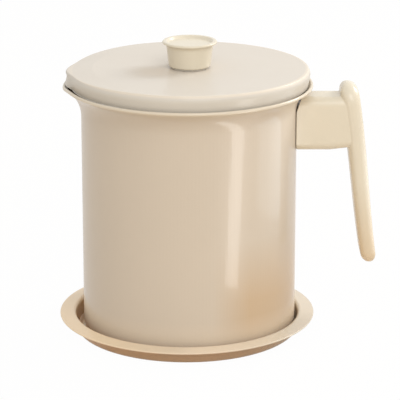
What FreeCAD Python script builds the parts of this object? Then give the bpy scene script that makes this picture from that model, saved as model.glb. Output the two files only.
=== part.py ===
import FreeCAD, Part
import math
import os
import types
import Sketcher

# Grease strainer pot: a deep-drawn steel pot with a pouring spout and a side handle. It stands
# in a drip tray and holds a lift-out mesh strainer under a lid with a knob.
# Millimetres. The origin is on the pot's axis at the tray's underside, +Z is up, the handle
# points along +X and the spout along -X.

Vector = FreeCAD.Vector
UP = Vector(0, 0, 1)
OUTWARDS = Vector(1, 0, 0)
INWARDS = Vector(-1, 0, 0)

RING_STEP = 4          # degrees between the sections of a lofted ring
GRIP_SECTIONS = 30     # level sections of the lofted grip
GRIP_END_SHARE = 0.35  # steps from the grip's very end to its first section
TOUCH = 1e-4           # distance within which two places count as one
ROUGH_SPOT = 50.0      # where a sketch's corners lie before their constraints place them

DIMENSIONS = [
    # pot
    ("pot_radius", 65.0, "outside of the pot's wall"),
    ("pot_wall", 1.0, "sheet of the pot"),
    ("pot_corner", 6.0, "outer bend between the wall and the floor"),
    ("flare_start", 138.5, "height where the wall starts to flare"),
    ("flare_rise", 14.8, "height of the rolled rim's centre line above that"),
    ("flare_reach", 8.7, "how far the rim's centre line stands outside the wall"),
    ("bead_radius", 1.0, "half the thickness of the rolled rim"),
    ("spout_reach", 1.2, "how far the spout pushes the rim outwards"),
    ("spout_drop", 1.5, "how far the spout pulls the rim down"),
    ("spout_depth", 4.2, "how far below the flare the spout's own flare starts"),
    ("spout_half_angle", 20.0, "degrees from the spout's tip to its end"),
    # drip tray
    ("tray_thickness", 1.0, "sheet of the drip tray"),
    ("tray_foot_gap", 3.2, "tray's flat underside beyond the pot's wall"),
    ("tray_mouth_gap", 3.6, "tray's mouth beyond the pot's wall"),
    ("tray_depth", 11.0, "top of the rim at its inner edge"),
    ("tray_rim_width", 9.6, "rim from its inner to its outer edge"),
    ("tray_rim_slope", 1.1, "how far the rim falls outwards"),
    ("tray_wide_bend", 2.0, "outer radius of the tray's bends"),
    ("tray_shift", 1.4, "how far the loose tray lies towards the spout"),
    # strainer
    ("collar_thickness", 0.8, "sheet of the strainer's collar"),
    ("flange_margin", 2.6, "flange's edge inside the rolled rim's centre line"),
    ("flange_bend", 1.6, "bend between the flange and the collar's wall"),
    ("seat_gap", 0.3, "play between the flange and the flared wall"),
    ("collar_gap", 0.8, "play between the strainer and the pot's wall"),
    ("collar_depth", 14.0, "height of the collar, flange included"),
    ("mesh_thickness", 0.4, "woven mesh"),
    ("mesh_depth", 27.0, "depth of the mesh bowl below the collar"),
    ("mesh_corner", 14.0, "bend between the bowl's side and its floor"),
    ("ring_thickness", 0.8, "hoop that clamps the mesh to the collar"),
    ("ring_height", 5.0, "height of that hoop"),
    # lid
    ("lid_thickness", 1.0, "sheet of the lid"),
    ("lid_overhang", 1.5, "lid's widest part beyond the flange"),
    ("lid_height", 9.8, "top of the lid above the skirt's lower edge"),
    ("lid_edge", 1.25, "rounding of the lid's top edge"),
    ("lid_shoulder", 2.8, "lid's widest part below its top"),
    ("lid_shoulder_lean", 27.0, "degrees by which the skirt leans outwards down to there"),
    ("lid_skirt_lean", 11.0, "degrees by which it leans inwards below"),
    ("lid_beak", 2.7, "how far the lid's top edge reaches over the spout"),
    ("lid_beak_foot", 3.7, "how far the skirt's lower edge reaches out below it"),
    ("lid_beak_half_angle", 18.0, "degrees from the beak's tip to its end"),
    ("lid_droop", 1.2, "how far the lid's top edge droops at the beak"),
    ("lid_droop_half_angle", 65.0, "degrees from the beak's tip to the droop's end"),
    ("lid_shift", 0.5, "how far the loose lid lies towards the handle"),
    ("lid_flat_margin", 14.0, "lid's edge beyond its flat middle"),
    # knob
    ("gasket_thickness", 1.1, "gasket between the lid and the knob"),
    ("gasket_margin", 1.3, "knob's foot beyond the gasket"),
    ("knob_foot_radius", 12.5, "knob at its foot"),
    ("knob_neck_radius", 14.0, "knob under its rim"),
    ("knob_rim_width", 2.4, "how far the rim stands out from the neck"),
    ("knob_rim_height", 2.6, "height of the flared rim"),
    ("knob_height", 15.5, "knob from foot to rim"),
    ("knob_dish", 1.5, "depth of the dished top"),
    ("insert_radius", 4.0, "outside of the threaded insert"),
    ("insert_length", 9.0, "length of the threaded insert"),
    ("knob_screw_radius", 1.95, "shank of the knob's screw"),
    ("knob_screw_reach", 8.0, "length of the shank inside the insert"),
    ("knob_head_radius", 3.8, "head of the knob's screw"),
    ("knob_head_height", 2.4, "height of that head"),
    ("washer_rim", 1.7, "washer under the lid beyond the screw's head"),
    ("washer_thickness", 0.8, "thickness of that washer"),
    ("thread_gap", 0.06, "play between a screw and its thread"),
    ("hole_gap", 0.35, "play of a screw in a plain hole"),
    # handle bracket and the screw through it
    ("saddle_thickness", 1.2, "curved plate welded to the wall"),
    ("saddle_width", 16.0, "that plate across"),
    ("saddle_height", 21.0, "height of that plate"),
    ("saddle_margin", 0.5, "that plate's upper edge below the flare"),
    ("tongue_length", 23.0, "channel from the pot's wall to its end"),
    ("tongue_width", 12.0, "channel across"),
    ("tongue_height", 14.0, "height of the channel"),
    ("tongue_sheet", 1.5, "sheet of the channel"),
    ("screw_drop", 7.8, "axis of the handle's screw below the flare"),
    ("screw_radius", 2.4, "shank of the handle's screw"),
    ("screw_head_radius", 4.2, "head of the handle's screw"),
    ("screw_head_height", 3.0, "height of that head"),
    ("screw_washer_rim", 0.6, "washer beyond the screw's head"),
    ("screw_washer_thickness", 1.0, "thickness of that washer"),
    ("nut_flats", 8.0, "weld nut across its flats"),
    ("nut_thickness", 4.0, "thickness of the weld nut"),
    ("nut_overrun", 1.5, "screw's end past the nut"),
    ("cross_width", 1.1, "slots of the screws' cross recess"),
    ("cross_length", 4.4, "length of those slots"),
    ("cross_depth", 1.2, "depth of those slots"),
    # handle
    ("handle_gap", 0.35, "space between the pot's wall and the arm"),
    ("arm_lean", 2.8, "how far the arm's end leans out beside the flared rim"),
    ("arm_width", 24.0, "arm across"),
    ("arm_height", 32.8, "height of the arm"),
    ("arm_rounding", 5.5, "rounding of the arm's long edges"),
    ("arm_straight", 20.0, "arm's level underside, from the pot's wall"),
    ("arm_rise", 1.6, "how far the underside rises from there to the arm's end"),
    ("arm_sink", 3.7, "arm's end beyond the grip's centre line at its top"),
    ("socket_gap", 0.3, "play of the bracket's plate and channel in the handle"),
    ("seat_thickness", 8.0, "moulding between the channel's end and the washer"),
    ("recess_gap", 0.6, "play round the washer in its recess"),
    ("grip_above", 24.1, "top of the grip above the screw's axis"),
    ("grip_below", 87.7, "tip of the grip below the screw's axis"),
    ("grip_top_reach", 30.3, "grip's centre line beyond the pot's wall at its top"),
    ("grip_tip_reach", 45.0, "grip's centre line beyond the pot's wall at its tip"),
    ("grip_bow", 0.4, "outward bow of the grip's centre line"),
    ("grip_sway", 1.3, "S bend of the grip's centre line"),
    ("grip_width", 26.0, "grip across"),
    ("grip_top_thickness", 11.6, "grip's thickness at its top"),
    ("grip_tip_thickness", 9.2, "grip's thickness at its tip"),
    ("grip_top_corner", 12.0, "rounding of the grip's top, seen from outside"),
    ("grip_tip_corner", 7.0, "rounding of the grip's tip, seen from outside"),
    ("grip_end_depth", 1.35, "depth of the ends' rounding over half the thickness"),
    ("grip_fillet", 0.8, "rounding between the arm and the grip"),
    ("arm_end_rounding", 0.4, "rounding of the arm's end at the pot"),
]


class Size:
    """A length that is known both as an expression on the sheet and as a number."""

    def __init__(self, text, value):
        self.text = text
        self.value = value

    def __str__(self):
        return self.text

    def __float__(self):
        return self.value

    def __neg__(self):
        return Size("(-%s)" % self, -self.value)

    def __add__(self, other):
        return Size("(%s + %s)" % (self, other), self.value + float(other))

    def __sub__(self, other):
        return Size("(%s - %s)" % (self, other), self.value - float(other))

    def __mul__(self, other):
        return Size("(%s * %s)" % (self, other), self.value * float(other))

    def __rmul__(self, number):
        return self * number

    def __truediv__(self, number):
        return Size("(%s / %s)" % (self, number), self.value / float(number))


class Sizes:
    """The sheet's driving dimensions and the sizes that follow from them, by name."""

    def __init__(self, doc):
        sheet = doc.addObject("Spreadsheet::Sheet", "dims")
        for row, (alias, value, note) in enumerate(DIMENSIONS, start=1):
            sheet.set("A%d" % row, note)
            sheet.set("B%d" % row, str(value))
            sheet.setAlias("B%d" % row, alias)
        doc.recompute()
        for alias, _, _ in DIMENSIONS:
            setattr(self, alias, Size("dims." + alias, float(sheet.get(alias))))
        self.follow()

    def follow(self):
        """Sizes of pieces that fit, seat on or line up with another one."""
        self.bead_circle = self.pot_radius + self.flare_reach
        self.bead_height = self.flare_start + self.flare_rise
        self.wall_top = self.flare_start - self.spout_depth - self.bead_radius
        self.tray_foot = self.pot_radius + self.tray_foot_gap
        self.tray_mouth = self.pot_radius + self.tray_mouth_gap
        self.flange_radius = self.bead_circle - self.flange_margin
        self.ring_outside = self.pot_radius - self.pot_wall - self.collar_gap
        self.mesh_outside = self.ring_outside - self.ring_thickness
        self.collar_radius = self.mesh_outside - self.mesh_thickness
        self.lid_radius = self.flange_radius + self.lid_overhang
        self.lid_flat = self.lid_radius - self.lid_flat_margin
        self.gasket_radius = self.knob_foot_radius - self.gasket_margin
        self.knob_rim_radius = self.knob_neck_radius + self.knob_rim_width
        self.washer_radius = self.knob_head_radius + self.washer_rim
        self.plate_bottom = self.flare_start - self.saddle_margin - self.saddle_height
        self.screw_height = self.flare_start - self.screw_drop
        self.tongue_end = self.pot_radius + self.tongue_length
        self.screw_seat = self.tongue_end + self.seat_thickness
        self.screw_washer_radius = self.screw_head_radius + self.screw_washer_rim
        self.recess_radius = self.screw_washer_radius + self.recess_gap
        self.arm_top = self.screw_height + self.arm_height / 2
        self.arm_bottom = self.screw_height - self.arm_height / 2
        self.arm_bend = self.pot_radius + self.arm_straight
        self.arm_end = self.pot_radius + self.grip_top_reach + self.arm_sink
        self.grip_top = self.screw_height + self.grip_above
        self.grip_tip = self.screw_height - self.grip_below

    def numbers(self):
        return types.SimpleNamespace(**{name: float(size) for name, size in vars(self).items()})


# ---------------------------------------------------------------- document helpers

def bind(thing, **sizes):
    """Ties properties to sizes; a double underscore in a name stands for a dot."""
    for name, size in sizes.items():
        thing.setExpression(name.replace("__", "."), str(size))
    return thing


def outline(body, name, corners):
    """A closed sketch of straight edges in the body's XZ plane, its corners tied to sizes."""
    sketch = body.newObject("Sketcher::SketchObject", name)
    plane = next(feature for feature in body.Origin.OriginFeatures if feature.Role == "XZ_Plane")
    sketch.AttachmentSupport = (plane, [""])
    sketch.MapMode = "FlatFace"
    count = len(corners)
    turns = [2 * math.pi * i / count for i in range(count)]
    start = [Vector(ROUGH_SPOT * (2 + math.cos(turn)), ROUGH_SPOT * (2 + math.sin(turn))) for turn in turns]
    for i in range(count):
        sketch.addGeometry(Part.LineSegment(start[i], start[(i + 1) % count]))
    for i in range(count):
        sketch.addConstraint(Sketcher.Constraint("Coincident", i, 2, (i + 1) % count, 1))
    for i, corner in enumerate(corners):
        for kind, size in zip(("DistanceX", "DistanceY"), corner):
            index = sketch.addConstraint(Sketcher.Constraint(kind, -1, 1, i, 1, 1.0))
            sketch.setExpression("Constraints[%d]" % index, str(size))
    return sketch


def turned(doc, label, corners, height=0.0):
    """A body turned about its Z axis from a half section of (radius, height) corners."""
    body = doc.addObject("PartDesign::Body", label)
    body.Label = label
    sketch = outline(body, label + "_section", corners)
    turn = body.newObject("PartDesign::Revolution", label + "_turn")
    turn.Profile = sketch
    turn.ReferenceAxis = (sketch, ["V_Axis"])
    turn.Angle = 360
    body.Placement.Base.z = height
    doc.recompute()
    return body


def ring_section(inner, outer, length):
    return [(inner, 0), (outer, 0), (outer, length), (inner, length)]


def rings_at(body, *places):
    """Names of the body's circular edges that lie at the given (radius, height) places."""
    names = []
    for index, edge in enumerate(body.Tip.Shape.Edges, start=1):
        if edge.Curve.TypeId != "Part::GeomCircle":
            continue
        here = (edge.Curve.Radius, edge.Curve.Center.z)
        if any(math.dist(here, [float(size) for size in place]) < TOUCH for place in places):
            names.append("Edge%d" % index)
    return names


def dress(doc, body, kind, name, edges, size):
    """Rounds or bevels the named edges of the body's last feature."""
    base = body.Tip
    feature = body.newObject("PartDesign::" + kind, name)
    feature.Base = (base, edges)
    bind(feature, **{"Radius" if kind == "Fillet" else "Size": size})
    doc.recompute()
    return feature


def fillet(doc, body, name, edges, size):
    return dress(doc, body, "Fillet", name, edges, size)


def combine(doc, kind, label, base, tool):
    feature = doc.addObject("Part::" + kind, label)
    feature.Label = label
    feature.Base = base
    feature.Tool = tool
    doc.recompute()
    return feature


def joined(doc, name, shapes):
    feature = doc.addObject("Part::MultiFuse", name)
    feature.Shapes = shapes
    return feature


def cylinder(doc, name, radius, length, axis=UP, **place):
    feature = doc.addObject("Part::Cylinder", name)
    feature.Placement = FreeCAD.Placement(Vector(), FreeCAD.Rotation(UP, axis))
    return bind(feature, Radius=radius, Height=length, **place)


def box(doc, name, length, width, height, **place):
    feature = doc.addObject("Part::Box", name)
    return bind(feature, Length=length, Width=width, Height=height, **place)


def solid_feature(doc, name, shape):
    feature = doc.addObject("Part::Feature", name)
    feature.Shape = shape
    return feature


def shell_solid(faces):
    """One closed solid from faces that meet along their edges."""
    shell = Part.makeShell(faces)
    shell.sewShape()
    return Part.makeSolid(shell.Shells[0])


def radial(angle, radius, height):
    return Vector(radius * math.cos(angle), radius * math.sin(angle), height)


def line(start, end):
    return Part.LineSegment(start, end).toShape()


def arc(start, middle, end):
    return Part.Arc(start, middle, end).toShape()


def ring_loft(section):
    """A closed ring through radial sections taken every few degrees round the Z axis."""
    angles = [math.radians(turn) for turn in range(0, 360, RING_STEP)]
    return Part.makeLoft([section(angle) for angle in angles], True, False, True)


def tip_share(angle, half_angle):
    """1 over the spout's tip, falling smoothly to 0 at the half angle on its two sides."""
    away = abs(math.remainder(angle - math.pi, 2 * math.pi)) / math.radians(half_angle)
    return (1 + math.cos(math.pi * away)) / 2 if away < 1 else 0.0


# ---------------------------------------------------------------- drip tray

def drip_tray(doc, d):
    """Pressed dish with a steep wall and a broad rim that falls outwards."""
    sheet = d.tray_thickness
    rim = d.tray_mouth + d.tray_rim_width
    rim_top = d.tray_depth - d.tray_rim_slope
    corners = [
        (0, 0),
        (d.tray_foot, 0),
        (d.tray_mouth + sheet, d.tray_depth - sheet),
        (rim, rim_top - sheet),
        (rim, rim_top),
        (d.tray_mouth, d.tray_depth),
        (d.tray_foot - sheet, sheet),
        (0, sheet),
    ]
    body = turned(doc, "drip_tray", corners)
    wide = rings_at(body, corners[1], corners[5])
    fillet(doc, body, "tray_outer_bends", wide, d.tray_wide_bend)
    tight = rings_at(body, corners[2], corners[6])
    fillet(doc, body, "tray_inner_bends", tight, d.tray_wide_bend - sheet)
    fillet(doc, body, "tray_rim_edge", rings_at(body, corners[3], corners[4]), 0.45 * sheet)
    return bind(body, Placement__Base__x=-d.tray_shift)


# ---------------------------------------------------------------- pot

def flare(n, share=0.0):
    """Mid line of the flared wall: its arc's centre radius, the arc's radius and its angle."""
    start = n.pot_radius - n.pot_wall / 2
    reach = n.bead_circle + share * n.spout_reach - start
    rise = n.flare_rise + share * (n.spout_depth - n.spout_drop)
    angle = 2 * math.atan2(reach, rise)
    radius = rise / math.sin(angle)
    return start + radius, radius, angle


def lip_section(n, angle):
    """Radial section of the upper wall, its flare and its rolled rim."""
    share = tip_share(angle, n.spout_half_angle)
    centre, mid, sweep = flare(n, share)
    start = n.flare_start - share * n.spout_depth
    outer, inner = mid - n.pot_wall / 2, mid + n.pot_wall / 2

    def at(radius, turn):
        return radial(angle, centre - radius * math.cos(turn), start + radius * math.sin(turn))

    def end(radius):
        """Angle at which the wall's face meets the rolled rim."""
        return sweep - math.acos((mid ** 2 + radius ** 2 - n.bead_radius ** 2) / (2 * mid * radius))

    tip = at(mid, sweep) + radial(angle, n.bead_radius * math.sin(sweep), n.bead_radius * math.cos(sweep))
    low_outside = radial(angle, n.pot_radius, n.wall_top)
    low_inside = radial(angle, n.pot_radius - n.pot_wall, n.wall_top)
    return Part.Wire([
        line(low_inside, low_outside),
        line(low_outside, at(outer, 0)),
        arc(at(outer, 0), at(outer, end(outer) / 2), at(outer, end(outer))),
        arc(at(outer, end(outer)), tip, at(inner, end(inner))),
        arc(at(inner, end(inner)), at(inner, end(inner) / 2), at(inner, 0)),
        line(at(inner, 0), low_inside),
    ])


def pot_drum(n):
    """Straight wall and floor below the lip, with both floor bends."""
    floor = n.tray_thickness
    drum = Part.makeCylinder(n.pot_radius, n.wall_top - floor, Vector(0, 0, floor))
    low = [edge for edge in drum.Edges if edge.BoundBox.ZMax < floor + TOUCH]
    drum = drum.makeFillet(n.pot_corner, low)
    floor += n.pot_wall
    hollow = Part.makeCylinder(n.pot_radius - n.pot_wall, n.wall_top - floor, Vector(0, 0, floor))
    low = [edge for edge in hollow.Edges if edge.BoundBox.ZMax < floor + TOUCH]
    return drum.cut(hollow.makeFillet(n.pot_corner - n.pot_wall, low))


def pot_body(doc, n):
    """The drum and the flared lip with its spout, sewn along the circles they share."""
    lip = ring_loft(lambda angle: lip_section(n, angle))
    faces = [face for face in lip.Faces if face.BoundBox.ZMax > n.wall_top + TOUCH]
    faces += [face for face in pot_drum(n).Faces if face.BoundBox.ZMin < n.wall_top - TOUCH]
    return solid_feature(doc, "pot_body", shell_solid(faces))


# ---------------------------------------------------------------- strainer

def flange_bottom(n):
    """Height at which the flange's edge stays clear of the flared wall by the seat gap."""
    centre, mid, _ = flare(n)
    inner = mid + n.pot_wall / 2
    reach = centre - n.flange_radius
    touch = n.flare_start + math.sqrt(inner ** 2 - reach ** 2)
    return touch + n.seat_gap * inner / reach


def strainer_collar(doc, d, bottom):
    """Flange that rests in the flared rim, and the short wall that carries the mesh."""
    inside = d.collar_radius - d.collar_thickness
    under = d.collar_depth - d.collar_thickness
    corners = [
        (inside, 0),
        (d.collar_radius, 0),
        (d.collar_radius, under),
        (d.flange_radius, under),
        (d.flange_radius, d.collar_depth),
        (inside, d.collar_depth),
    ]
    body = turned(doc, "strainer_collar", corners, bottom)
    fillet(doc, body, "collar_outer_bend", rings_at(body, corners[5]), d.flange_bend)
    tight = d.flange_bend - d.collar_thickness
    fillet(doc, body, "collar_inner_bend", rings_at(body, corners[2]), tight)
    return body


def strainer_mesh(doc, d, bottom):
    """Plain bowl of the mesh's outer shape, its upright edge held between collar and hoop."""
    top = d.mesh_depth + d.ring_height
    corners = [
        (0, 0),
        (d.mesh_outside, 0),
        (d.mesh_outside, top),
        (d.collar_radius, top),
        (d.collar_radius, d.mesh_thickness),
        (0, d.mesh_thickness),
    ]
    body = turned(doc, "strainer_mesh", corners, bottom - float(d.mesh_depth))
    fillet(doc, body, "mesh_outer_bend", rings_at(body, corners[1]), d.mesh_corner)
    tight = d.mesh_corner - d.mesh_thickness
    fillet(doc, body, "mesh_inner_bend", rings_at(body, corners[4]), tight)
    return body


def strainer_clamp_ring(doc, d, bottom):
    """Hoop that holds the mesh against the collar."""
    corners = ring_section(d.mesh_outside, d.ring_outside, d.ring_height)
    body = turned(doc, "strainer_clamp_ring", corners, bottom)
    fillet(doc, body, "ring_edges", rings_at(body, corners[1], corners[2]), 0.45 * d.ring_thickness)
    return body


# ---------------------------------------------------------------- lid and knob

def lid_section(n, angle, bottom):
    """Radial section of the lid outside its flat middle."""
    share = tip_share(angle, n.lid_beak_half_angle)
    droop = n.lid_droop * tip_share(angle, n.lid_droop_half_angle)
    top = bottom + n.lid_height
    shoulder_height = top - n.lid_shoulder
    lean = math.radians(n.lid_shoulder_lean)
    fall = n.lid_shoulder - n.lid_edge * (1 - math.sin(lean))
    edge_radius = n.lid_radius - fall * math.tan(lean) - n.lid_edge * math.cos(lean) + share * n.lid_beak
    taper = (shoulder_height - bottom) * math.tan(math.radians(n.lid_skirt_lean))
    foot_radius = n.lid_radius - taper + share * n.lid_beak_foot
    lean *= 1 - 2 * share
    fall = n.lid_shoulder - n.lid_edge * (1 - math.sin(lean))
    shoulder_radius = edge_radius + n.lid_edge * math.cos(lean) + fall * math.tan(lean)

    def bend(radius, turn):
        """Point of the rounded top edge, which reaches out and droops over the spout."""
        across = edge_radius + radius * math.cos(turn)
        return radial(angle, across, top - droop - n.lid_edge + radius * math.sin(turn))

    def face(sheet):
        """Corners of one side of the sheet, from the flat middle to the skirt's end."""
        return [
            radial(angle, n.lid_flat, top - sheet),
            bend(n.lid_edge - sheet, math.pi / 2),
            bend(n.lid_edge - sheet, lean),
            radial(angle, shoulder_radius - sheet, shoulder_height - droop),
            radial(angle, foot_radius - sheet, bottom),
        ]

    middle = (math.pi / 2 + lean) / 2
    outside, inside = face(0.0), face(n.lid_thickness)
    return Part.Wire([
        line(outside[0], outside[1]),
        arc(outside[1], bend(n.lid_edge, middle), outside[2]),
        line(outside[2], outside[3]),
        line(outside[3], outside[4]),
        line(outside[4], inside[4]),
        line(inside[4], inside[3]),
        line(inside[3], inside[2]),
        arc(inside[2], bend(n.lid_edge - n.lid_thickness, middle), inside[1]),
        line(inside[1], inside[0]),
        line(inside[0], outside[0]),
    ])


def lid(doc, d, n, bottom):
    """Pressed lid: a lofted edge and skirt closed by the flat middle, with the screw's hole."""
    rim = ring_loft(lambda angle: lid_section(n, angle, bottom))
    faces = [face for face in rim.Faces if face.BoundBox.XMax > n.lid_flat + TOUCH]
    wall = next(face for face in rim.Faces if face.BoundBox.XMax < n.lid_flat + TOUCH)
    rings = [edge for edge in wall.Edges if edge.BoundBox.ZLength < TOUCH]
    faces += [Part.Face(Part.Wire([ring])) for ring in rings]
    blank = solid_feature(doc, "lid_blank", shell_solid(faces))
    hole = cylinder(doc, "lid_hole", d.knob_screw_radius + d.hole_gap, 3 * d.lid_thickness)
    hole.Placement.Base.z = bottom + n.lid_height - 2 * n.lid_thickness
    return combine(doc, "Cut", "lid", blank, hole)


def lid_knob(doc, d, height):
    """Moulded knob with a flared rim, a dished top and a bore for its insert."""
    under_rim = d.knob_height - d.knob_rim_height
    rim_middle = d.knob_height - d.knob_rim_height / 2
    dish = d.knob_height - d.knob_dish
    corners = [
        (0, d.insert_length),
        (d.insert_radius, d.insert_length),
        (d.insert_radius, 0),
        (d.knob_foot_radius, 0),
        (d.knob_neck_radius, under_rim),
        (d.knob_rim_radius, rim_middle),
        (d.knob_rim_radius, d.knob_height),
        (d.knob_neck_radius, d.knob_height),
        (d.knob_neck_radius - d.knob_dish, dish),
        (0, dish),
    ]
    body = turned(doc, "lid_knob", corners, height)
    rim = d.knob_rim_height
    fillet(doc, body, "knob_under_rim", rings_at(body, corners[4]), 0.8 * rim)
    fillet(doc, body, "knob_rim_top", rings_at(body, corners[6]), 0.35 * rim)
    fillet(doc, body, "knob_rim_edges", rings_at(body, corners[5], corners[7]), 0.2 * rim)
    dress(doc, body, "Chamfer", "knob_foot_bevel", rings_at(body, corners[3]), 0.3 * rim)
    return body


def cross_recess(doc, d, name, head_height):
    """Two crossed slots that reach into a screw's head from below."""
    slots = []
    long_side, short_side = d.cross_length, d.cross_width
    for length, width in ((long_side, short_side), (short_side, long_side)):
        slot = box(
            doc,
            name + "_slot",
            length,
            width,
            2 * d.cross_depth,
            Placement__Base__x=-length / 2,
            Placement__Base__y=-width / 2,
            Placement__Base__z=-head_height - d.cross_depth,
        )
        slots.append(slot)
    return joined(doc, name, slots)


def screw(doc, d, label, shank, length, head, head_height):
    """Screw along +Z: its domed head below, its seat at z = 0 and its shank above."""
    corners = [
        (0, -head_height),
        (head, -head_height),
        (head, 0),
        (shank, 0),
        (shank, length),
        (0, length),
    ]
    blank = turned(doc, label + "_blank", corners)
    fillet(doc, blank, label + "_dome", rings_at(blank, corners[1]), 0.4 * head_height)
    return combine(doc, "Cut", label, blank, cross_recess(doc, d, label + "_cross", head_height))


def knob_fasteners(doc, d, lid_top):
    """Insert moulded into the knob, and what clamps the knob to the lid."""
    loose = d.knob_screw_radius + d.hole_gap
    bore = ring_section(d.knob_screw_radius + d.thread_gap, d.insert_radius, d.insert_length)
    insert = turned(doc, "knob_insert", bore, lid_top + float(d.gasket_thickness))
    section = ring_section(loose, d.gasket_radius, d.gasket_thickness)
    gasket = turned(doc, "knob_gasket", section, lid_top)
    under = lid_top - float(d.lid_thickness + d.washer_thickness)
    section = ring_section(loose, d.washer_radius, d.washer_thickness)
    washer = turned(doc, "knob_washer", section, under)
    length = d.washer_thickness + d.lid_thickness + d.gasket_thickness + d.knob_screw_reach
    bolt = screw(doc, d, "knob_screw", d.knob_screw_radius, length, d.knob_head_radius, d.knob_head_height)
    bolt.Placement.Base.z = under
    return [insert, gasket, washer, bolt]


# ---------------------------------------------------------------- handle

def round_end(half, rounding, depth):
    """Half size at a depth below an end that is rounded over that depth."""
    return half * math.sqrt(1 - (1 - min(depth, rounding) / rounding) ** 2)


def grip_section(n, height):
    """Level section of the grip: straight sides joined by two half rounds."""
    share = (n.grip_top - height) / (n.grip_top - n.grip_tip)
    upper = share < 0.5
    depth = n.grip_top - height if upper else height - n.grip_tip
    corner = n.grip_top_corner if upper else n.grip_tip_corner
    half_thick = (n.grip_top_thickness + share * (n.grip_tip_thickness - n.grip_top_thickness)) / 2
    half_thick = round_end(half_thick, half_thick * n.grip_end_depth, depth)
    half_width = n.grip_width / 2 - corner + round_end(corner, corner, depth)
    slant = n.pot_radius + n.grip_top_reach + share * (n.grip_tip_reach - n.grip_top_reach)
    bow = 4 * share * (1 - share)
    x = slant + bow * (n.grip_bow + n.grip_sway * (1 - 2 * share))
    y = half_width - half_thick
    back = [Vector(x - half_thick, y, height), Vector(x - half_thick, -y, height)]
    front = [Vector(x + half_thick, -y, height), Vector(x + half_thick, y, height)]
    return Part.Wire([
        line(back[0], back[1]),
        arc(back[1], Vector(x, -half_width, height), front[0]),
        line(front[0], front[1]),
        arc(front[1], Vector(x, half_width, height), back[0]),
    ])


def grip(doc, n):
    """Grip lofted through level sections that crowd together at its rounded ends."""
    middle, half = (n.grip_top + n.grip_tip) / 2, (n.grip_top - n.grip_tip) / 2
    turns = [math.pi * (i + GRIP_END_SHARE) / GRIP_SECTIONS for i in range(GRIP_SECTIONS)]
    sections = [grip_section(n, middle + half * math.cos(turn)) for turn in turns]
    return solid_feature(doc, "handle_grip", Part.makeLoft(sections, True, False))


def arm(doc, d):
    """Arm of the handle, from inside the pot's wall to inside the grip."""
    body = doc.addObject("PartDesign::Body", "handle_arm")
    inner_end = d.pot_radius - d.arm_rounding
    corners = [
        (inner_end, d.arm_bottom),
        (d.arm_bend, d.arm_bottom),
        (d.arm_end, d.arm_bottom + d.arm_rise),
        (d.arm_end, d.arm_top),
        (inner_end, d.arm_top),
    ]
    pad = body.newObject("PartDesign::Pad", "arm_pad")
    pad.Profile = outline(body, "arm_side", corners)
    pad.SideType = "Symmetric"
    bind(pad, Length=d.arm_width)
    doc.recompute()
    long_edges = []
    for index, edge in enumerate(body.Shape.Edges, start=1):
        if edge.BoundBox.XLength > TOUCH and edge.BoundBox.YLength < TOUCH:
            long_edges.append("Edge%d" % index)
    fillet(doc, body, "arm_edges", long_edges, d.arm_rounding)
    return body


def shared_edges(shape, *parts):
    """Edges of the shape whose middle lies on the skin of each of the parts."""
    skins = [Part.Shell(part.Shape.Faces) for part in parts]
    edges = []
    for edge in shape.Edges:
        spot = Part.Vertex(edge.valueAt((edge.FirstParameter + edge.LastParameter) / 2))
        if all(spot.distToShape(skin)[0] < TOUCH for skin in skins):
            edges.append(edge)
    return edges


def handle_blank(doc, d, n):
    """Arm and grip in one moulding, with the corner between them rounded."""
    arm_part, grip_part = arm(doc, d), grip(doc, n)
    both = combine(doc, "Fuse", "handle_joined", arm_part, grip_part)
    corner = shared_edges(both.Shape, arm_part, grip_part)
    return solid_feature(doc, "handle_blank", both.Shape.makeFillet(n.grip_fillet, corner))


def handle(doc, d, n):
    """The moulding with room for the pot's wall, the bracket's channel and the screw."""
    clear = d.pot_radius + d.handle_gap
    low, high = d.arm_bottom - d.arm_rounding, d.arm_top + d.arm_rounding
    corners = [
        (0, low),
        (clear, low),
        (clear, d.flare_start),
        (clear + d.arm_lean, d.arm_top),
        (clear + d.arm_lean, high),
        (0, high),
    ]
    room = turned(doc, "handle_pot_room", corners)
    width = d.tongue_width + 2 * d.socket_gap
    height = d.tongue_height + 2 * d.socket_gap
    pocket = box(
        doc,
        "handle_socket",
        d.tongue_end,
        width,
        height,
        Placement__Base__y=-width / 2,
        Placement__Base__z=d.screw_height - height / 2,
    )
    width = d.saddle_width + 2 * d.socket_gap
    bottom, top = d.plate_bottom - d.socket_gap, d.plate_bottom + d.saddle_height + d.socket_gap
    plate_ring = cylinder(
        doc,
        "handle_plate_ring",
        d.pot_radius + d.saddle_thickness + d.socket_gap,
        top - bottom,
        Placement__Base__z=bottom,
    )
    window = box(
        doc,
        "handle_plate_window",
        2 * d.pot_radius,
        width,
        top - bottom,
        Placement__Base__y=-width / 2,
        Placement__Base__z=bottom,
    )
    plate_room = combine(doc, "Common", "handle_plate_room", plate_ring, window)
    hole = cylinder(
        doc,
        "handle_screw_hole",
        d.screw_radius + d.hole_gap,
        d.screw_seat,
        OUTWARDS,
        Placement__Base__z=d.screw_height,
    )
    recess = cylinder(
        doc,
        "handle_screw_recess",
        d.recess_radius,
        2 * d.grip_top_thickness,
        OUTWARDS,
        Placement__Base__x=d.screw_seat,
        Placement__Base__z=d.screw_height,
    )
    tools = joined(doc, "handle_tools", [room, pocket, plate_room, hole, recess])
    blank = handle_blank(doc, d, n)
    moulding = combine(doc, "Cut", "handle_moulding", blank, tools)
    rim = shared_edges(moulding.Shape, blank, room)
    return solid_feature(doc, "handle", moulding.Shape.makeFillet(n.arm_end_rounding, rim))


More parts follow.
